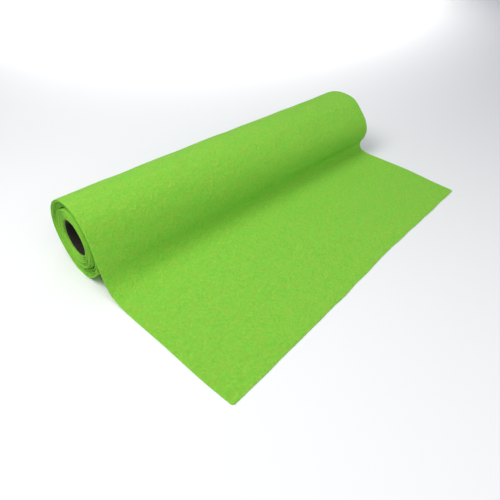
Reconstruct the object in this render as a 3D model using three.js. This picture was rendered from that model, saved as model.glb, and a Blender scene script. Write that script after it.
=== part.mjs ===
// A roll of green felt on a cardboard core, its last lap pulled off over the front of the roll and
// lying flat on the surface. Millimetres, +Z up, the roll along X, the loose end towards -Y.
// Before the group is centred, y = 0 and z = 0 are under the middle of the roll, on the surface.

import * as THREE from 'three';
import * as BufferGeometryUtils from 'three/addons/utils/BufferGeometryUtils.js';

// Felt
const FELT_THICKNESS = 1.5;
const NEAR_FACE = -225; // x of the roll's near end, the one that shows its laps
const FAR_FACE = 221.5;

// Core
const CORE_OUTER_RADIUS = 20;
const CORE_WALL = 1.5;
const CORE_SETBACK = 3; // from each face of the roll
const FIT_GAP = 0.3; // felt to core
const AXIS = { near: { y: 1.5, z: 46.9 }, far: { y: 0, z: 43.8 } }; // middle of the core at each face

// How finely the solid is cut
const STATIONS = 14; // sections along the roll
const LAP_STEPS = 54;
const BORE_STEPS = 40;
const CORE_STEPS = 48;
const SLOT_STEPS = 9;
const LOOSE_STEPS_PER_ROW = 4;

// The outermost lap: its outer radius about the core, by angle in degrees. 180 is the front, 270 the
// surface, 360 the back and 450 the top. The lap ends where the loose end leaves it.
const OUTER_LAP = [
  { at: 140, near: 41.8, far: 43.4 },
  { at: 160, near: 41.4, far: 45.0 },
  { at: 180, near: 42.4, far: 45.9 },
  { at: 200, near: 43.4, far: 45.6 },
  { at: 220, near: 44.4, far: 44.8 },
  { at: 240, near: 45.6, far: 44.2 },
  { at: 270, near: 47.4, far: 44.3 }, // past the surface, so the roll rests on a flat strip
  { at: 300, near: 46.6, far: 44.2 },
  { at: 330, near: 45.4, far: 45.9 },
  { at: 360, near: 44.4, far: 47.4 },
  { at: 390, near: 43.5, far: 46.0 },
  { at: 420, near: 43.4, far: 43.2 },
  { at: 450, near: 44.0, far: 41.4 },
  { at: 480, near: 43.9, far: 42.2 },
];
const LAP_END = 480;
const PARTING_ANGLE = { near: 174, far: 204 }; // where the loose end's underside leaves the roll

// The middle line of the loose end, down the front of the roll and out over the surface.
// lift raises the far side edge alone.
const LOOSE_END = [
  { row: 'shoulder', near: [-225, -27, 79.5], far: [221.5, -35.5, 66.6], lift: 0 },
  { row: 'upper front', near: [-225, -34.6, 68], far: [222, -44.4, 55], lift: 0 },
  { row: 'front', near: [-225, -40.8, 53], far: [223, -48, 41.5], lift: 0 },
  { row: 'lower front', near: [-225, -46.3, 36], far: [225, -44.5, 28], lift: 0 },
  { row: 'hollow', near: [-225, -51.6, 21], far: [227, -38, 16.5], lift: 0 },
  { row: 'landing', near: [-224.8, -60, 9.6], far: [227.5, -41, 6.6], lift: 0.5 },
  { row: 'touching', near: [-223.8, -74, 3], far: [227.5, -52, 2.4], lift: 1.5 },
  { row: 'first flat', near: [-222.8, -96, 0.75], far: [227.5, -78, 0.75], lift: 3 },
  { row: 'middle flat', near: [-220.8, -145, 0.75], far: [227.5, -125, 0.75], lift: 3 },
  { row: 'last flat', near: [-219.5, -195, 0.75], far: [227.5, -165, 0.75], lift: 0.8 },
  { row: 'free edge', near: [-217, -231.6, 0.75], far: [227.5, -195, 0.75], lift: 0 },
];
const LIFT_START = 0.55; // how far along the roll the lift begins
const EDGE_BOW = { depth: 2.5, at: 0.62, spread: 0.18 }; // the free edge is cut a little hollow
const BELLY = 0.013; // how much taller, as a share, the roll stands at its middle than at its ends

// The widest gaps between laps, each a thin lens that runs the whole length of the roll.
const SLOTS = [
  { name: 'over the core', from: 32, to: 86, radiusFrom: 34.2, radiusTo: 32.2, width: 1.6 },
  { name: 'before the core', from: 148, to: 258, radiusFrom: 26.8, radiusTo: 36.2, width: 2.2 },
  { name: 'under the last lap', from: 140, to: 188, radiusFrom: 36.6, radiusTo: 39.8, width: 1.6 },
];
const FAR_SLOT_SCALE = { near: 1, far: 0.9 };

const feltMaterial = new THREE.MeshStandardMaterial({ color: 0x86c440, roughness: 0.95, metalness: 0 });
const cardboardMaterial = new THREE.MeshStandardMaterial({ color: 0x6b5643, roughness: 0.9, metalness: 0 });

const lerp = THREE.MathUtils.lerp;
const between = (ends, u) => lerp(ends.near, ends.far, u);

// The value at one angle of a table with a row for each angle, on a smooth curve through its rows.
function tableValue(table, at, u) {
  const last = table.length - 1;
  const next = Math.max(1, table.findIndex((row) => row.at >= at));
  const row = (k) => table[THREE.MathUtils.clamp(k, 0, last)];
  const [a, b, c, d] = [next - 2, next - 1, next, next + 1].map(row);
  const span = c.at - b.at;
  const value = (r) => between(r, u);
  const slope = (p, q) => ((value(q) - value(p)) / Math.max(q.at - p.at, 1)) * span;
  const t = (at - b.at) / span;
  return (
    value(b) * (2 * t ** 3 - 3 * t ** 2 + 1) +
    slope(a, c) * (t ** 3 - 2 * t ** 2 + t) +
    value(c) * (3 * t ** 2 - 2 * t ** 3) +
    slope(b, d) * (t ** 3 - t ** 2)
  );
}

// A point of the section at station u, at an angle and radius about the core, no lower than the surface.
function roundCore(u, degrees, radius) {
  const angle = THREE.MathUtils.degToRad(degrees);
  const y = lerp(AXIS.near.y, AXIS.far.y, u) + radius * Math.cos(angle);
  const z = lerp(AXIS.near.z, AXIS.far.z, u) + radius * Math.sin(angle);
  return new THREE.Vector3(lerp(NEAR_FACE, FAR_FACE, u), y, Math.max(z, 0));
}

const lapPoint = (u, degrees, inset = 0) =>
  roundCore(u, degrees, tableValue(OUTER_LAP, degrees, u) - inset);

// The middle line of the loose end at station u, with two points of the lap that it grows out of.
function looseLine(u) {
  const lead = [LAP_END - 20, LAP_END].map((degrees) => lapPoint(u, degrees, FELT_THICKNESS / 2));
  const rows = LOOSE_END.map(({ near, far, lift }) => {
    const point = new THREE.Vector3(...near).lerp(new THREE.Vector3(...far), u);
    point.z += lift * (Math.max(0, u - LIFT_START) / (1 - LIFT_START)) ** 2;
    return point;
  });
  rows.at(-1).y += EDGE_BOW.depth * Math.exp(-(((u - EDGE_BOW.at) / EDGE_BOW.spread) ** 2));
  return new THREE.CatmullRomCurve3([...lead, ...rows], false, 'centripetal');
}

// Points of the loose end from the lap to the free edge, moved half a thickness up or down.
function looseSide(u, line, side) {
  const spans = line.points.length - 1;
  const steps = (spans - 1) * LOOSE_STEPS_PER_ROW;
  return Array.from({ length: steps + 1 }, (_, k) => {
    const t = lerp(1 / spans, 1, k / steps);
    const tangent = line.getTangent(t);
    const across = new THREE.Vector3(0, tangent.z, -tangent.y).normalize();
    const point = line.getPoint(t);
    point.z = Math.max(point.z, FELT_THICKNESS / 2);
    return point.addScaledVector(across, (side * FELT_THICKNESS) / 2);
  });
}

const angleAt = (u, point) => {
  const y = point.y - lerp(AXIS.near.y, AXIS.far.y, u);
  const z = point.z - lerp(AXIS.near.z, AXIS.far.z, u);
  return THREE.MathUtils.euclideanModulo(THREE.MathUtils.radToDeg(Math.atan2(z, y)), 360);
};

// The whole outline of the felt at station u: round the roll, out to the free edge and back beneath.
function feltOutline(u, undersideStart) {
  const line = looseLine(u);
  const parting = between(PARTING_ANGLE, u);
  const lap = Array.from({ length: LAP_STEPS }, (_, k) =>
    lapPoint(u, lerp(parting, LAP_END, k / LAP_STEPS)),
  );
  const top = looseSide(u, line, 1);
  const underside = looseSide(u, line, -1).slice(undersideStart).reverse();
  const outline = [...lap, ...top, ...underside];
  outline.forEach((point) => {
    point.z *= 1 + BELLY * Math.sin(Math.PI * u);
  });
  return outline;
}

// The underside is cut off at the first point that lies past the parting angle at both ends.
function firstUnderside() {
  const past = (u) => looseSide(u, looseLine(u), -1).findIndex((p) => angleAt(u, p) > between(PARTING_ANGLE, u));
  return Math.max(past(0), past(1));
}

const boreLoop = (u) =>
  Array.from({ length: BORE_STEPS }, (_, k) =>
    roundCore(u, (360 * k) / BORE_STEPS, CORE_OUTER_RADIUS + FIT_GAP),
  );

// A thin lens between two laps, from one tip along its inner side and back along its outer side.
function slotLoop(slot, u) {
  const side = (sign) =>
    Array.from({ length: SLOT_STEPS }, (_, k) => {
      const along = (k + (sign > 0 ? 1 : 0)) / SLOT_STEPS;
      const radius = lerp(slot.radiusFrom, slot.radiusTo, along) * between(FAR_SLOT_SCALE, u);
      const half = (slot.width / 2) * Math.sin(Math.PI * along);
      return roundCore(u, lerp(slot.from, slot.to, along), radius + sign * half);
    });
  return [...side(-1), ...side(1).reverse()];
}

// A closed solid through the same loops at every station: walls along each loop and a cap at each end.
function loft(loopsAt) {
  const stations = Array.from({ length: STATIONS }, (_, k) => loopsAt(k / (STATIONS - 1)));
  const starts = [];
  let loopStart = 0;
  for (const loop of stations[0]) {
    starts.push(loopStart);
    loopStart += loop.length;
  }
  const perStation = loopStart;
  const triangles = [];
  for (let s = 0; s < STATIONS - 1; s += 1) {
    stations[0].forEach((loop, l) => {
      for (let k = 0; k < loop.length; k += 1) {
        const a = s * perStation + starts[l] + k;
        const b = s * perStation + starts[l] + ((k + 1) % loop.length);
        triangles.push(a, b, b + perStation, a, b + perStation, a + perStation);
      }
    });
  }
  for (const end of [0, STATIONS - 1]) {
    const flat = stations[end].map((loop) => loop.map((p) => new THREE.Vector2(p.y, p.z)));
    const points = flat.flat();
    for (const [a, b, c] of THREE.ShapeUtils.triangulateShape(flat[0], flat.slice(1))) {
      const facesFar = THREE.ShapeUtils.area([points[a], points[b], points[c]]) > 0;
      const corners = facesFar === end > 0 ? [a, b, c] : [a, c, b];
      triangles.push(...corners.map((k) => k + end * perStation));
    }
  }
  const geometry = new THREE.BufferGeometry();
  geometry.setFromPoints(stations.flat(2));
  geometry.setIndex(triangles);
  return geometry;
}

function makeFelt() {
  const undersideStart = firstUnderside();
  const geometry = loft((u) => [
    feltOutline(u, undersideStart),
    boreLoop(u).reverse(),
    ...SLOTS.map((slot) => slotLoop(slot, u)),
  ]);
  geometry.computeVertexNormals();
  const mesh = new THREE.Mesh(geometry, feltMaterial);
  mesh.name = 'felt';
  return mesh;
}

function makeCoreTube() {
  const near = roundCore(0, 0, 0);
  const far = roundCore(1, 0, 0);
  const length = near.distanceTo(far) - 2 * CORE_SETBACK;
  const inner = CORE_OUTER_RADIUS - CORE_WALL;
  const profile = [
    new THREE.Vector2(inner, -length / 2),
    new THREE.Vector2(CORE_OUTER_RADIUS, -length / 2),
    new THREE.Vector2(CORE_OUTER_RADIUS, length / 2),
    new THREE.Vector2(inner, length / 2),
    new THREE.Vector2(inner, -length / 2),
  ];
  const lathe = new THREE.LatheGeometry(profile, CORE_STEPS);
  lathe.deleteAttribute('normal');
  lathe.deleteAttribute('uv');
  const geometry = BufferGeometryUtils.mergeVertices(lathe);
  geometry.computeVertexNormals();
  const mesh = new THREE.Mesh(geometry, cardboardMaterial);
  mesh.name = 'core_tube';
  mesh.position.copy(near).add(far).multiplyScalar(0.5);
  const axis = far.clone().sub(near).normalize();
  mesh.quaternion.setFromUnitVectors(new THREE.Vector3(0, 1, 0), axis);
  return mesh;
}

// The group stands with the middle of its footprint at the origin.
function centred(meshes) {
  const group = new THREE.Group();
  group.add(...meshes);
  const box = new THREE.Box3().setFromObject(group, true);
  group.position.set(-(box.min.x + box.max.x) / 2, -(box.min.y + box.max.y) / 2, -box.min.z);
  return group;
}

export default centred([makeFelt(), makeCoreTube()]);
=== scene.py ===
# A roll of green felt on a cardboard core, its last lap pulled off over the front of the roll and lying
# flat on the surface. The sizes of the felt and the core are in millimetres and become metres where a mesh
# is made. The roll lies along X and the loose end towards -Y. Angles go round the core in degrees: 180 is
# the front, 270 the surface, 360 the back and 450 the top. Along the roll, u is 0 at the near end and 1 at
# the far one.

import math

import bpy
import numpy as np
from mathutils import Matrix, Vector


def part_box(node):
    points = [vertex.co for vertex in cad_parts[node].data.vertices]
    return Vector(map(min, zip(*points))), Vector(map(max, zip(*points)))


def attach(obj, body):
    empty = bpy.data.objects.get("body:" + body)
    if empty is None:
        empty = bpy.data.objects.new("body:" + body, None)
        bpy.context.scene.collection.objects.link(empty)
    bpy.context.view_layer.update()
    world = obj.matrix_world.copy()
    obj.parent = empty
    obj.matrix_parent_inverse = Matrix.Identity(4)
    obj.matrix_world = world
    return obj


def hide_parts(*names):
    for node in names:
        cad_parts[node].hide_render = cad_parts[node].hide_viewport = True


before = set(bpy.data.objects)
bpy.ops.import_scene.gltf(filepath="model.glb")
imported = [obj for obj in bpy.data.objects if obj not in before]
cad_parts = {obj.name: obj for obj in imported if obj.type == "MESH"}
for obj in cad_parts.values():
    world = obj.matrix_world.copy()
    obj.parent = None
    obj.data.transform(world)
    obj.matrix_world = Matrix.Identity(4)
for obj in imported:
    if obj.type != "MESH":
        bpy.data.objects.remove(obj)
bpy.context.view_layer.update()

MM = 0.001

# Felt
WOUND_THICKNESS = 1.4  # pressed a little thinner in the roll
LOOSE_THICKNESS = 1.5
NEAR_FACE = -225.0
FAR_FACE = 221.5
WIDTH = 450.0
BORE_RADIUS = 20.3
FREE_CORNER_Y = -231.6  # the loose end's corner that lies furthest out
START_ANGLE = 165 - 12 * 360  # where the felt begins on the core
LAST_LAP_START = 120
LAST_LAP_END = 480  # where the loose end begins
AXIS = ((1.5, 46.9), (0.0, 43.8))  # y and z of the core's middle at each end
BELLY = 0.013  # how much taller, as a share, the roll stands at its middle than at its ends

# The outer radius of the last lap: angle, near end, far end. Up to 180 it lies under the loose end.
LAST_LAP = (
    (120, 42.2, 40.65),
    (135, 41.6, 41.0),
    (150, 41.0, 41.6),
    (165, 41.5, 44.7),
    (180, 42.4, 45.9),
    (200, 43.4, 45.6),
    (220, 44.4, 44.8),
    (240, 45.6, 44.2),
    (270, 47.4, 44.3),
    (300, 46.6, 44.2),
    (330, 45.4, 45.9),
    (360, 44.4, 47.4),
    (390, 43.5, 46.0),
    (420, 43.4, 43.2),
    (450, 44.0, 41.4),
    (480, 43.9, 42.2),
)

# The middle line of the loose end: x, y, z at each end, how far its far side edge is raised, and how far
# it is tucked towards the roll between its ends.
LOOSE_END = (
    ((-225.0, -27.0, 79.5), (221.5, -35.5, 66.6), 0.0, 0.0),
    ((-225.0, -34.6, 68.0), (222.0, -44.4, 55.0), 0.0, 0.0),
    ((-225.0, -40.8, 53.0), (223.0, -48.0, 41.5), 0.0, 0.0),
    ((-225.0, -46.3, 36.0), (225.0, -44.5, 28.0), 0.0, 0.5),
    ((-225.0, -51.6, 21.0), (227.0, -38.0, 16.5), 0.0, 2.8),
    ((-224.8, -60.0, 9.6), (227.5, -41.0, 6.6), 0.5, 5.0),
    ((-223.8, -74.0, 3.0), (227.5, -52.0, 2.4), 1.5, 6.5),
    ((-222.8, -96.0, 0.75), (227.5, -78.0, 0.75), 3.0, 7.0),
    ((-220.8, -145.0, 0.75), (227.5, -125.0, 0.75), 3.0, 0.0),
    ((-219.5, -195.0, 0.75), (227.5, -165.0, 0.75), 0.8, 0.0),
    ((-217.0, -231.6, 0.75), (227.5, -195.0, 0.75), 0.0, 0.0),
)
LIFT_START = 0.55  # how far along the roll the lift begins
TUCK_SKEW = 0.85  # below 1 the tuck is deepest nearer to the near end
TUCK_FLATNESS = 0.6  # below 1 the tuck stays deep closer to both ends
EDGE_BOW = {"depth": 2.5, "at": 0.62, "spread": 0.18}  # the free edge is cut a little hollow
CORNER_RADIUS = 3.0  # of the free edge's two corners

# Gaps between laps: the laps beneath each where it begins, and its width by angle.
GAPS = (
    # round the inner laps
    {
        "laps": 7,
        "widths": (
            (8, 0.0),
            (26, 1.0),
            (42, 1.4),
            (62, 1.4),
            (86, 0.7),
            (130, 0.5),
            (165, 1.5),
            (205, 2.1),
            (240, 1.5),
            (262, 0.0),
        ),
    },
    # outside the first lap
    {"laps": 1, "widths": ((198, 0.0), (212, 0.8), (232, 0.8), (248, 0.0))},
    # two laps below the loose end
    {"laps": 10, "widths": ((138, 0.0), (150, 0.9), (170, 0.9), (188, 0.0))},
)
FAR_GAP_SHARE = 0.9  # how wide a gap is at the far end, as a share of the near end

# How far each lap's cut edge stands back from the end of the roll: laps from the core, near end, far end.
SETBACKS = (
    (0.0, 1.8, 0.9),
    (0.8, 1.0, 0.5),
    (1.6, 0.0, 0.1),
    (2.5, 1.4, 0.9),
    (3.3, 0.1, 0.2),
    (4.3, 1.2, 0.8),
    (5.0, 0.0, 0.1),
    (6.9, 0.1, 0.5),
    (7.6, 3.4, 0.9),
    (10.4, 3.8, 1.4),
    (11.5, 1.4, 0.8),
    (12.3, 0.0, 0.2),
    (12.9, 0.0, 0.0),
)

# Unevenness: how far it goes in millimetres, its wavelength and the seed that it is drawn from.
SURFACE_RIPPLE = {"depth": 0.38, "wavelength": 62, "seed": 11}
CUT_EDGE_RIPPLE = {"depth": 0.14, "wavelength": 24, "seed": 5}
LAP_RIPPLE = {"depth": 0.72, "wavelength": 1.7, "seed": 8}  # its wavelength is in laps
FREE_EDGE_RIPPLE = {"depth": 0.55, "wavelength": 52, "seed": 21}
RIPPLE_WAVES = 14
RIPPLE_SPREAD = (0.6, 1.7)  # the least and greatest share of the wavelength that a wave has
RIPPLE_LEVEL = 0.6  # keeps the waves' sum between about -1 and 1
SURFACE_RADIUS = 44  # turns an angle round the roll into a length for the surface's ripples
EDGE_PER_LAP = 150  # turns a lap into a length for the cut edges' ripples

# How finely the sheet is cut
COARSE_STEP = 6  # degrees between rows in the inner laps
FINE_STEP = 4
FINE_START = 84  # the angle from which the outer lap and the loose end are finely cut
LOOSE_STEP = 3.4  # millimetres between rows in the loose end
LEAD_ANGLE = 20  # degrees of the last lap that lead the curve of the loose end
CURVE_SAMPLES = 600  # points at which the loose end's length is measured
FINE_COLUMNS = 112
COARSE_COLUMNS = 8
CORNER_ROWS = 12  # rows at the free edge that the round corners reach
CORNER_BACK = 10  # rows back from the free edge to where a side edge's direction is taken
CORNER_ACROSS = 8  # columns in from a corner to where the free edge's direction is taken
BLEND_ROWS = 12  # rows over which the pressed felt reaches its loose thickness
FLOOR_GAP = 0.02  # how far the wound felt stays above the surface
CUT_EDGE = ((0.0, 0.26), (0.2, 0.52), (0.6, 0.79), (1.3, 0.94), (2.4, 1.0))  # distance in, share of thickness

# Core
CORE_OUTER_RADIUS = 20.0
CORE_WALL = 1.5
CORE_SETBACK = 3.0
CORE_SIDES = 96
CORE_RINGS = 110
CORE_RIM = ((0.0, 0.35), (0.1, 0.12), (0.35, 0.0))  # distance along, how far the rim is worn from each wall
RIM_LENGTH = 4  # from the tube's end to its first plain ring
PLY_PITCH = 96.0  # how far along the tube its spiral ply edge goes in one turn
PLY_STEP = 0.14  # how far one edge of the ply stands above the other

# Felt's look. Lengths are in metres, and a noise's scale is in features to the metre.
FELT_SHADES = ((0.228, 0.716, 0.051, 1), (0.356, 0.68, 0.057, 1))
PATCHES = {"scale": 130.0, "detail": 5.0, "roughness": 0.75}
MOTTLE = {"scale": 420.0, "detail": 4.0, "roughness": 0.65}
LUMPS = {"scale": 900.0, "detail": 3.0, "roughness": 0.6}
SWELLS = {"scale": 210.0, "detail": 2.0, "roughness": 0.5}
NOISE_RANGE = (0.3, 0.7)  # the middle part of a noise that is stretched to its full range
MOTTLE_SHADE = (0.89, 1.06)  # how dark and how light the mottle makes the colour
STRAND_SHADE = 0.1
STRAND_TURNS = ((0.3, 0.2, 0.1), (0.9, 0.6, 1.3), (1.7, -0.5, 2.4))
STRAND_LENGTH = 0.0035
STRAND_THICKNESS = 0.00022
STRAND_RANGE = (0.5, 0.78)
FIBRE_BEND = {"scale": 140.0, "detail": 2.0, "reach": 0.006}
# A fibre's grain is counted in its own lengths and thicknesses
FIBRE_GRAIN = {"scale": 1.0, "detail": 2.0, "roughness": 0.6}
FELT_HEIGHTS = {"lumps": 0.6, "strands": 0.4, "mottle": 0.9, "swells": 1.8}
FELT_BUMP = {"Strength": 0.85, "Distance": 0.0008}
FELT_SHADER = {
    "Roughness": 0.95,
    "Specular IOR Level": 0.15,
    "Sheen Weight": 0.12,
    "Sheen Roughness": 0.6,
    "Sheen Tint": (0.75, 1.0, 0.55, 1),
}

# Cardboard's look, with lengths in metres. The board and fleck colours are far darker than cardboard: painted
# shade for the dim inside of the tube.
BOARD_TONES_AND_PAINTED_SHADE = ((0.008, 0.006, 0.004, 1), (0.02, 0.014, 0.009, 1))
BOARD_CLOUD = {"scale": 90.0, "detail": 4.0, "roughness": 0.6}
FLECK_COLOUR_AND_PAINTED_SHADE = (0.05, 0.036, 0.024, 1)
FLECK_TURN = (0.4, 0.3, 0.8)
FLECK_LENGTH = 0.002
FLECK_THICKNESS = 0.0002
FLECK_RANGE = (0.55, 0.75)
FLECK_STRENGTH = 0.45
BOARD_ROUGHNESS = 0.85
BOARD_BUMP = {"Strength": 0.3, "Distance": 0.0002}

# Floor and light, in metres and watts
FLOOR_REACH = 6.0
FLOOR_COLOUR = (0.95, 0.935, 0.915, 1)
FLOOR_ROUGHNESS = 0.9
SKY_COLOUR = (0.92, 1.0, 1.14, 1)
SKY_STRENGTH = 0.31
WHOLE_SPREAD = 180  # degrees
LIGHTS = (
    {"name": "softbox_left", "place": (-0.62, 0.17, 0.95), "size": 0.6, "power": 6.3},
    {"name": "softbox_front", "place": (-0.2, -1.05, 1.05), "size": 1.0, "power": 5.35},
    {"name": "softbox_above", "place": (-0.35, 0.1, 1.45), "size": 1.0, "power": 3.4},
    {
        "name": "backdrop_light",
        "place": (1.55, 1.95, 1.5),
        "target": (1.0, 1.35, 0),
        "size": 1.0,
        "power": 26,
        "spread": 46,
    },
)

# Camera: its place in metres, its angles in degrees and its lens in millimetres
CAMERA_PLACE = (-0.36276, -0.30388, 0.34366)
CAMERA_YAW = 44.5427
CAMERA_PITCH = 38.9483
CAMERA_ROLL = 0.6883
SENSOR_WIDTH = 36.0
FOCAL_LENGTH = 33.85
LENS_SHIFT = (0.0007, -0.0033)
CLIP_START = 0.01

FELT_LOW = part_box("felt")[0]
ORIGIN = (FELT_LOW[0] - NEAR_FACE * MM, FELT_LOW[1] - FREE_CORNER_Y * MM, 0.0)


def mix(a, b, share):
    return a + (b - a) * share


def table_value(table, at, u):
    """The value at an angle on a smooth curve through a table's rows."""
    angles = np.array([row[0] for row in table], float)
    near, far = (np.array([row[k] for row in table]) for k in (1, 2))
    at = np.clip(at, angles[0], angles[-1])
    hi = np.clip(np.searchsorted(angles, at), 1, len(angles) - 1)
    a, b, c, d = (np.clip(hi + k, 0, len(angles) - 1) for k in (-2, -1, 0, 1))
    span = angles[c] - angles[b]

    def value(k):
        return mix(near[k], far[k], u)

    def slope(p, q):
        return (value(q) - value(p)) / np.maximum(angles[q] - angles[p], 1) * span

    t = (at - angles[b]) / span
    return (
        value(b) * (2 * t**3 - 3 * t**2 + 1)
        + slope(a, c) * (t**3 - 2 * t**2 + t)
        + value(c) * (3 * t**2 - 2 * t**3)
        + slope(b, d) * (t**3 - t**2)
    )


def ripples(a, b, ripple):
    """Smooth unevenness between about -1 and 1 over two lengths."""
    rng = np.random.default_rng(ripple["seed"])
    total = np.zeros(np.broadcast(a, b).shape)
    for _ in range(RIPPLE_WAVES):
        turn = rng.uniform(0, 2 * math.pi)
        wave = 2 * math.pi / (ripple["wavelength"] * rng.uniform(*RIPPLE_SPREAD))
        start = rng.uniform(0, 2 * math.pi)
        total += np.sin(wave * (a * math.cos(turn) + b * math.sin(turn)) + start)
    return total * math.sqrt(2 / RIPPLE_WAVES) * RIPPLE_LEVEL


def gap_parts(angle, u):
    """For each gap, its width at an angle of the spiral and 1 where the felt has passed outside it."""
    for gap in GAPS:
        first = gap["widths"][0][0]
        sweep = gap["widths"][-1][0] - first
        turn = (angle - first) % 360
        at, widths = zip(*gap["widths"])
        width = np.interp(turn + first, at, widths) * mix(1, FAR_GAP_SHARE, u)
        inner_start = START_ANGLE + 360 * (gap["laps"] - 1) + (first - START_ANGLE) % 360
        yield width, (angle > inner_start + (sweep + 360) / 2) * 1.0


def wound_point(angle, u):
    """y and z of the wound felt's middle line."""
    last = (angle - LAST_LAP_START) % 360 + LAST_LAP_START
    first_radius = BORE_RADIUS + WOUND_THICKNESS / 2
    last_radius = table_value(LAST_LAP, last, u) - WOUND_THICKNESS / 2
    parts = list(gap_parts(angle, u))
    gaps = sum(width for width, _ in parts)
    share = (angle - START_ANGLE) / (last - START_ANGLE)
    radius = first_radius + (last_radius - first_radius - gaps) * share
    radius = radius + sum(width * outside for width, outside in parts)
    rippled = ripples(np.radians(last) * SURFACE_RADIUS, u * WIDTH, SURFACE_RIPPLE)
    radius = radius + SURFACE_RIPPLE["depth"] * share * rippled
    y = mix(AXIS[0][0], AXIS[1][0], u) + radius * np.cos(np.radians(angle))
    z = mix(AXIS[0][1], AXIS[1][1], u) + radius * np.sin(np.radians(angle))
    z = np.maximum(z, WOUND_THICKNESS / 2 + FLOOR_GAP)
    return y, z * (1 + BELLY * share * np.sin(math.pi * u))


def wound_rows(angles, columns):
    """Points of the wound felt's middle line, a row for each angle."""
    angle, u = np.meshgrid(angles, columns, indexing="ij")
    y, z = wound_point(angle, u)
    laps = (angle - START_ANGLE) / 360
    at, near_setbacks, far_setbacks = zip(*SETBACKS)
    near_back = np.interp(laps, at, near_setbacks)
    far_back = np.interp(laps, at, far_setbacks)
    uneven = CUT_EDGE_RIPPLE["depth"] * ripples(laps * EDGE_PER_LAP, 0 * laps, CUT_EDGE_RIPPLE)
    uneven = uneven + LAP_RIPPLE["depth"] * ripples(laps, 0 * laps, LAP_RIPPLE)
    x = mix(NEAR_FACE + near_back + uneven, FAR_FACE - far_back + uneven, u)
    return np.stack([x, y, z], -1)


def smooth_curve(points, at):
    """Points on a centripetal Catmull-Rom curve. points is a list of arrays, at counts from the first."""
    padded = [2 * points[0] - points[1], *points, 2 * points[-1] - points[-2]]
    k = min(int(at), len(points) - 2)
    p0, p1, p2, p3 = padded[k : k + 4]
    d0, d1, d2 = (
        np.maximum(np.linalg.norm(q - p, axis=-1, keepdims=True) ** 0.5, 0.01)
        for p, q in ((p0, p1), (p1, p2), (p2, p3))
    )
    t1 = ((p1 - p0) / d0 - (p2 - p0) / (d0 + d1) + (p2 - p1) / d1) * d1
    t2 = ((p2 - p1) / d1 - (p3 - p1) / (d1 + d2) + (p3 - p2) / d2) * d1
    w = at - k
    return p1 + t1 * w + (3 * (p2 - p1) - 2 * t1 - t2) * w**2 + (2 * (p1 - p2) + t1 + t2) * w**3


def loose_rows(columns):
    """Points of the loose end's middle line, from the last lap to the free edge."""
    lead = [wound_rows([angle], columns)[0] for angle in (LAST_LAP_END - LEAD_ANGLE, LAST_LAP_END)]
    spread = (np.maximum(0, columns - LIFT_START) / (1 - LIFT_START)) ** 2
    between = np.maximum(0, np.sin(math.pi * columns**TUCK_SKEW)) ** TUCK_FLATNESS
    rows = []
    for near, far, lift, tuck in LOOSE_END:
        row = mix(np.array(near), np.array(far), columns[:, None])
        row[:, 1] += tuck * between
        row[:, 2] += lift * spread
        row[:, 2] *= 1 + BELLY * np.sin(math.pi * columns)
        rows.append(row)
    from_bow = (columns - EDGE_BOW["at"]) / EDGE_BOW["spread"]
    rows[-1][:, 1] += EDGE_BOW["depth"] * np.exp(-(from_bow**2))
    rows[-1][:, 1] += FREE_EDGE_RIPPLE["depth"] * ripples(columns * WIDTH, 0 * columns, FREE_EDGE_RIPPLE)
    points = lead + rows
    middle = len(columns) // 2
    dense = np.linspace(1, len(points) - 1, CURVE_SAMPLES)
    line = np.array([smooth_curve(points, at)[middle] for at in dense])
    length = np.concatenate([[0], np.cumsum(np.linalg.norm(np.diff(line, axis=0), axis=1))])
    steps = round(length[-1] / LOOSE_STEP)
    inner = np.linspace(0, length[-1] - CUT_EDGE[-1][0], steps + 1)[1:]
    edge = length[-1] - np.array([distance for distance, _ in CUT_EDGE[-2::-1]])
    stops = np.interp(np.concatenate([inner, edge]), length, dense)
    return np.array([smooth_curve(points, at) for at in stops])


def column_places():
    """u of each column, finely spaced at both cut edges, and which of them the inner laps use."""
    edge = [distance / WIDTH for distance, _ in CUT_EDGE]
    inner = np.linspace(edge[-1], 1 - edge[-1], FINE_COLUMNS + 1)[1:-1]
    columns = np.array([*edge, *inner, *(1 - d for d in reversed(edge))])
    every = FINE_COLUMNS // COARSE_COLUMNS
    last_edge = len(edge) - 1
    coarse = [*range(last_edge), *range(last_edge, last_edge + FINE_COLUMNS + 1, every)]
    coarse += range(last_edge + FINE_COLUMNS + 1, len(columns))
    return columns, coarse


def edge_profile(count):
    """The share of the thickness at each of count places that end in a cut edge on both sides."""
    share = np.ones(count)
    for k, (_, part) in enumerate(CUT_EDGE):
        share[k] = min(share[k], part)
        share[-1 - k] = min(share[-1 - k], part)
    return share


def round_corners(grid):
    """Rounds off the two corners of the free edge."""
    for side, inward in ((0, 1), (-1, -1)):
        corner = grid[-1, side].copy()
        across = grid[-1, side + inward * CORNER_ACROSS] - corner
        back = grid[-CORNER_BACK, side] - corner
        across, back = (v / np.linalg.norm(v) for v in (across, back))
        near = grid[-CORNER_ROWS:] - corner
        a, b = CORNER_RADIUS - near @ across, CORNER_RADIUS - near @ back
        inside = (a > 0) & (b > 0)
        share = np.where(inside, np.maximum(a, b) / np.maximum(np.hypot(a, b), 1e-6), 1)
        shift = (a * (1 - share))[..., None] * across + (b * (1 - share))[..., None] * back
        grid[-CORNER_ROWS:] += np.where(inside[..., None], shift, 0)


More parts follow.
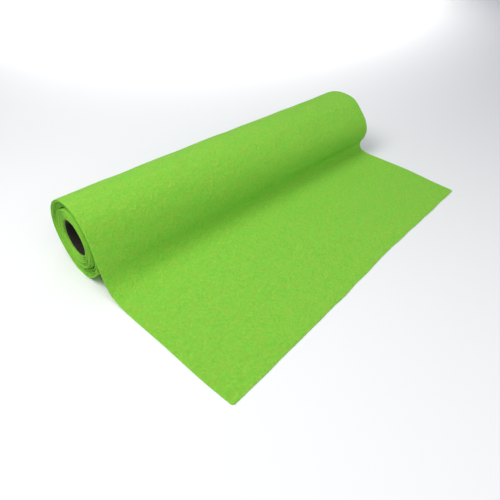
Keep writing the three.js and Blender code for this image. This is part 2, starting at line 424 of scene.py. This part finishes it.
def felt_surfaces():
    """The middle line, its upward direction and half thickness at every row and column of the sheet."""
    columns, coarse = column_places()
    inner = np.arange(START_ANGLE, FINE_START, COARSE_STEP)
    outer = np.arange(FINE_START, LAST_LAP_END + 1, FINE_STEP)
    wound = wound_rows(np.concatenate([inner, outer]), columns)
    loose = loose_rows(columns)
    grid = np.concatenate([wound, loose])
    along = np.gradient(grid, axis=0)[..., 1:]
    along /= np.linalg.norm(along, axis=-1, keepdims=True)
    up = np.stack([0 * along[..., 0], along[..., 1], -along[..., 0]], -1)
    round_corners(grid)
    thickness = np.full(len(grid), WOUND_THICKNESS)
    thickness[len(wound) :] = LOOSE_THICKNESS
    blend = np.linspace(WOUND_THICKNESS, LOOSE_THICKNESS, BLEND_ROWS)
    thickness[len(wound) - BLEND_ROWS : len(wound)] = blend
    free = edge_profile(len(grid))
    free[: len(CUT_EDGE)] = 1
    half = thickness[:, None] / 2 * edge_profile(len(columns))[None, :] * free[:, None]
    grid[..., 2] = np.maximum(grid[..., 2], LOOSE_THICKNESS / 2)
    return grid, up, half, coarse, len(inner)


def sheet_mesh(name, grid, up, half, coarse, coarse_rows):
    """A closed sheet with a top and an underside. The first rows have only the coarse columns."""
    rows, count, _ = grid.shape
    everything = list(range(count))
    used = [coarse if r < coarse_rows else everything for r in range(rows)]
    index = -np.ones((2, rows, count), int)
    points = []
    for side, sign in enumerate((1, -1)):
        surface = grid + sign * up * half[..., None]
        for r in range(rows):
            index[side, r, used[r]] = np.arange(len(points), len(points) + len(used[r]))
            points.extend(surface[r, used[r]])
    faces = []
    for r in range(rows - 1):
        for a, b in zip(used[r], used[r][1:]):
            beyond = [c for c in used[r + 1] if a <= c <= b]
            ring = [(r, a), (r, b), *((r + 1, c) for c in reversed(beyond))]
            faces.append([int(index[0][p]) for p in ring])
            faces.append([int(index[1][p]) for p in reversed(ring)])
        for c, turn in ((0, 1), (count - 1, -1)):
            ring = [index[0, r, c], index[0, r + 1, c], index[1, r + 1, c], index[1, r, c]]
            faces.append([int(k) for k in ring][::turn])
    for r, turn in ((0, -1), (rows - 1, 1)):
        for a, b in zip(used[r], used[r][1:]):
            ring = [index[0, r, a], index[0, r, b], index[1, r, b], index[1, r, a]]
            faces.append([int(k) for k in ring][::turn])
    return make_mesh(name, np.array(points), faces)


def make_mesh(name, points, faces):
    """A smooth object from points in millimetres in the roll's own place."""
    mesh = bpy.data.meshes.new(name)
    mesh.from_pydata((points * MM + np.array(ORIGIN)).tolist(), [], faces)
    mesh.update()
    mesh.polygons.foreach_set("use_smooth", [True] * len(mesh.polygons))
    piece = bpy.data.objects.new(name, mesh)
    bpy.context.scene.collection.objects.link(piece)
    return piece


def core_mesh():
    """The cardboard tube, with a spiral ply edge inside and softly worn rims."""
    ends = [np.array([x, *axis]) for x, axis in zip((NEAR_FACE, FAR_FACE), AXIS)]
    along = ends[1] - ends[0]
    length = np.linalg.norm(along)
    along /= length
    side = np.cross(along, (0, 0, 1))
    side /= np.linalg.norm(side)
    rise = np.cross(side, along)
    plain = np.linspace(CORE_SETBACK + RIM_LENGTH, length - CORE_SETBACK - RIM_LENGTH, CORE_RINGS)
    places = [CORE_SETBACK + d for d, _ in CORE_RIM]
    places += list(plain)
    places += [length - CORE_SETBACK - d for d, _ in reversed(CORE_RIM)]
    worn = [w for _, w in CORE_RIM] + [0.0] * CORE_RINGS + [w for _, w in reversed(CORE_RIM)]
    angle = np.arange(CORE_SIDES) * 2 * math.pi / CORE_SIDES
    circle = np.cos(angle)[:, None] * side + np.sin(angle)[:, None] * rise
    outer, inner = [], []
    for place, wear in zip(places, worn):
        ply = (angle / (2 * math.pi) + place / PLY_PITCH) % 1
        inner_radius = CORE_OUTER_RADIUS - CORE_WALL + wear + PLY_STEP * (ply - 0.5)
        outer.append(ends[0] + along * place + (CORE_OUTER_RADIUS - wear) * circle)
        inner.append(ends[0] + along * place + inner_radius[:, None] * circle)
    count = len(places)
    order = list(range(count)) + list(range(2 * count - 1, count - 1, -1))
    faces = []
    for k, start in enumerate(order):
        here = start * CORE_SIDES
        there = order[(k + 1) % len(order)] * CORE_SIDES
        for t in range(CORE_SIDES):
            after = (t + 1) % CORE_SIDES
            faces.append([here + t, here + after, there + after, there + t])
    return make_mesh("cardboard_tube", np.concatenate(outer + inner), faces)


def add_node(tree, kind, inputs=(), **settings):
    """A new node. inputs gives each socket a value, or another node's output to link it to."""
    node = tree.nodes.new(kind)
    for key, value in settings.items():
        setattr(node, key, value)
    for socket, value in dict(inputs).items():
        if isinstance(value, bpy.types.NodeSocket):
            tree.links.new(value, node.inputs[socket])
        else:
            node.inputs[socket].default_value = value
    return node


def new_material(name):
    material = bpy.data.materials.new(name)
    material.use_nodes = True
    tree = material.node_tree
    tree.nodes.clear()
    shader = add_node(tree, "ShaderNodeBsdfPrincipled")
    output = add_node(tree, "ShaderNodeOutputMaterial")
    tree.links.new(shader.outputs["BSDF"], output.inputs["Surface"])
    return material, tree, shader


def noise(tree, place, scale, detail, roughness):
    settings = {"Vector": place, "Scale": scale, "Detail": detail, "Roughness": roughness}
    return add_node(tree, "ShaderNodeTexNoise", settings).outputs["Fac"]


def fit_range(tree, value, low, high, to_low=0.0, to_high=1.0):
    limits = {"Value": value, "From Min": low, "From Max": high, "To Min": to_low, "To Max": to_high}
    return add_node(tree, "ShaderNodeMapRange", limits).outputs["Result"]


def maths(tree, operation, first, second):
    return add_node(tree, "ShaderNodeMath", {0: first, 1: second}, operation=operation).outputs["Value"]


def mix_colours(tree, factor, first, second, blend="MIX"):
    node = add_node(tree, "ShaderNodeMix", data_type="RGBA", blend_type=blend)
    for socket, value in ((0, factor), (6, first), (7, second)):
        if isinstance(value, bpy.types.NodeSocket):
            tree.links.new(value, node.inputs[socket])
        else:
            node.inputs[socket].default_value = value
    return node.outputs[2]


def fibres(tree, place, turn, length, thickness):
    """Thin streaks that lie one way, as loose fibres do, bent by a broad unevenness."""
    settings = {"Vector": place, "Scale": FIBRE_BEND["scale"], "Detail": FIBRE_BEND["detail"]}
    bend = add_node(tree, "ShaderNodeTexNoise", settings).outputs["Color"]
    reach = (FIBRE_BEND["reach"],) * 3
    bent = add_node(tree, "ShaderNodeVectorMath", {0: bend, 1: reach, 2: place}, operation="MULTIPLY_ADD")
    stretch = (1 / length, 1 / thickness, 1 / thickness)
    settings = {"Vector": bent.outputs["Vector"], "Rotation": turn, "Scale": stretch}
    turned = add_node(tree, "ShaderNodeMapping", settings)
    return noise(tree, turned.outputs["Vector"], **FIBRE_GRAIN)


def felt_material():
    """Needled felt: matted fibres, soft lumps and a faint two tone mottling."""
    material, tree, shader = new_material("needled_green_felt")
    place = add_node(tree, "ShaderNodeTexCoord").outputs["Object"]
    patches = fit_range(tree, noise(tree, place, **PATCHES), *NOISE_RANGE)
    mottle = noise(tree, place, **MOTTLE)
    lumps = noise(tree, place, **LUMPS)
    swells = noise(tree, place, **SWELLS)
    strands = None
    for turn in STRAND_TURNS:
        layer = fibres(tree, place, turn, STRAND_LENGTH, STRAND_THICKNESS)
        strands = layer if strands is None else maths(tree, "MAXIMUM", strands, layer)
    strands = fit_range(tree, strands, *STRAND_RANGE)
    colour = mix_colours(tree, patches, *FELT_SHADES)
    mottled = fit_range(tree, mottle, *NOISE_RANGE, *MOTTLE_SHADE)
    shade = maths(tree, "ADD", mottled, maths(tree, "MULTIPLY", strands, STRAND_SHADE))
    grey = add_node(tree, "ShaderNodeCombineColor", {"Red": shade, "Green": shade, "Blue": shade})
    colour = mix_colours(tree, 1.0, colour, grey.outputs["Color"], "MULTIPLY")
    tree.links.new(colour, shader.inputs["Base Color"])
    for socket, value in FELT_SHADER.items():
        shader.inputs[socket].default_value = value
    height = maths(tree, "MULTIPLY", lumps, FELT_HEIGHTS["lumps"])
    for part, name in ((strands, "strands"), (mottle, "mottle"), (swells, "swells")):
        height = maths(tree, "ADD", height, maths(tree, "MULTIPLY", part, FELT_HEIGHTS[name]))
    bump = add_node(tree, "ShaderNodeBump", {**FELT_BUMP, "Height": height})
    tree.links.new(bump.outputs["Normal"], shader.inputs["Normal"])
    return material


def cardboard_material():
    """Tube board with fine fibre flecks, its grey brown colours darkened to near black as painted shade for
    the dim inside of the tube.
    """
    material, tree, shader = new_material("tube_board_with_painted_shade")
    place = add_node(tree, "ShaderNodeTexCoord").outputs["Object"]
    cloud = noise(tree, place, **BOARD_CLOUD)
    flecks = fibres(tree, place, FLECK_TURN, FLECK_LENGTH, FLECK_THICKNESS)
    # The board and fleck colours here carry painted shade for the inside of the tube.
    colour = mix_colours(tree, fit_range(tree, cloud, *NOISE_RANGE), *BOARD_TONES_AND_PAINTED_SHADE)
    fleck = fit_range(tree, flecks, *FLECK_RANGE, 0.0, FLECK_STRENGTH)
    colour = mix_colours(tree, fleck, colour, FLECK_COLOUR_AND_PAINTED_SHADE)
    tree.links.new(colour, shader.inputs["Base Color"])
    shader.inputs["Roughness"].default_value = BOARD_ROUGHNESS
    bump = add_node(tree, "ShaderNodeBump", {**BOARD_BUMP, "Height": flecks})
    tree.links.new(bump.outputs["Normal"], shader.inputs["Normal"])
    return material


def make_felt():
    felt = sheet_mesh("rolled_felt", *felt_surfaces())
    felt.data.materials.append(felt_material())
    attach(felt, "root")
    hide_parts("felt")
    return felt


def make_core():
    core = core_mesh()
    core.data.materials.append(cardboard_material())
    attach(core, "root")
    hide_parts("core_tube")
    return core


def make_floor():
    corners = [(x * FLOOR_REACH, y * FLOOR_REACH, 0) for x, y in ((-1, -1), (1, -1), (1, 1), (-1, 1))]
    mesh = bpy.data.meshes.new("floor")
    mesh.from_pydata(corners, [], [(0, 1, 2, 3)])
    floor = bpy.data.objects.new("floor", mesh)
    bpy.context.scene.collection.objects.link(floor)
    material, _, shader = new_material("pale_floor")
    shader.inputs["Base Color"].default_value = FLOOR_COLOUR
    shader.inputs["Roughness"].default_value = FLOOR_ROUGHNESS
    floor.data.materials.append(material)


def make_light(name, place, size, power, target=(0, 0, 0), spread=WHOLE_SPREAD):
    lamp = bpy.data.lights.new(name, "AREA")
    lamp.shape = "DISK"
    lamp.size = size
    lamp.energy = power
    lamp.spread = math.radians(spread)
    light = bpy.data.objects.new(name, lamp)
    light.location = place
    light.rotation_euler = (Vector(target) - Vector(place)).to_track_quat("-Z", "Y").to_euler()
    bpy.context.scene.collection.objects.link(light)


def make_lights():
    world = bpy.data.worlds.new("studio")
    world.use_nodes = True
    background = world.node_tree.nodes["Background"]
    background.inputs["Color"].default_value = SKY_COLOUR
    background.inputs["Strength"].default_value = SKY_STRENGTH
    bpy.context.scene.world = world
    for light in LIGHTS:
        make_light(**light)


def make_camera():
    """Where the photograph was taken from, worked out from the sheet's corners and the roll's outline."""
    yaw, pitch, roll = (math.radians(a) for a in (CAMERA_YAW, CAMERA_PITCH, CAMERA_ROLL))
    ahead = Vector((math.sin(yaw) * math.cos(pitch), math.cos(yaw) * math.cos(pitch), -math.sin(pitch)))
    level = ahead.cross(Vector((0, 0, 1))).normalized()
    upright = level.cross(ahead)
    right = math.cos(roll) * level + math.sin(roll) * upright
    up = math.cos(roll) * upright - math.sin(roll) * level
    lens = bpy.data.cameras.new("camera")
    lens.sensor_fit = "HORIZONTAL"
    lens.sensor_width = SENSOR_WIDTH
    lens.lens = FOCAL_LENGTH
    lens.shift_x, lens.shift_y = LENS_SHIFT
    lens.clip_start = CLIP_START
    camera = bpy.data.objects.new("camera", lens)
    turned = Matrix((right, up, -ahead)).transposed().to_4x4()
    camera.matrix_world = Matrix.Translation(CAMERA_PLACE) @ turned
    bpy.context.scene.collection.objects.link(camera)
    bpy.context.scene.camera = camera


make_camera()
make_felt()
make_core()
make_floor()
make_lights()
bpy.context.scene.view_settings.view_transform = "Standard"

bpy.context.view_layer.update()
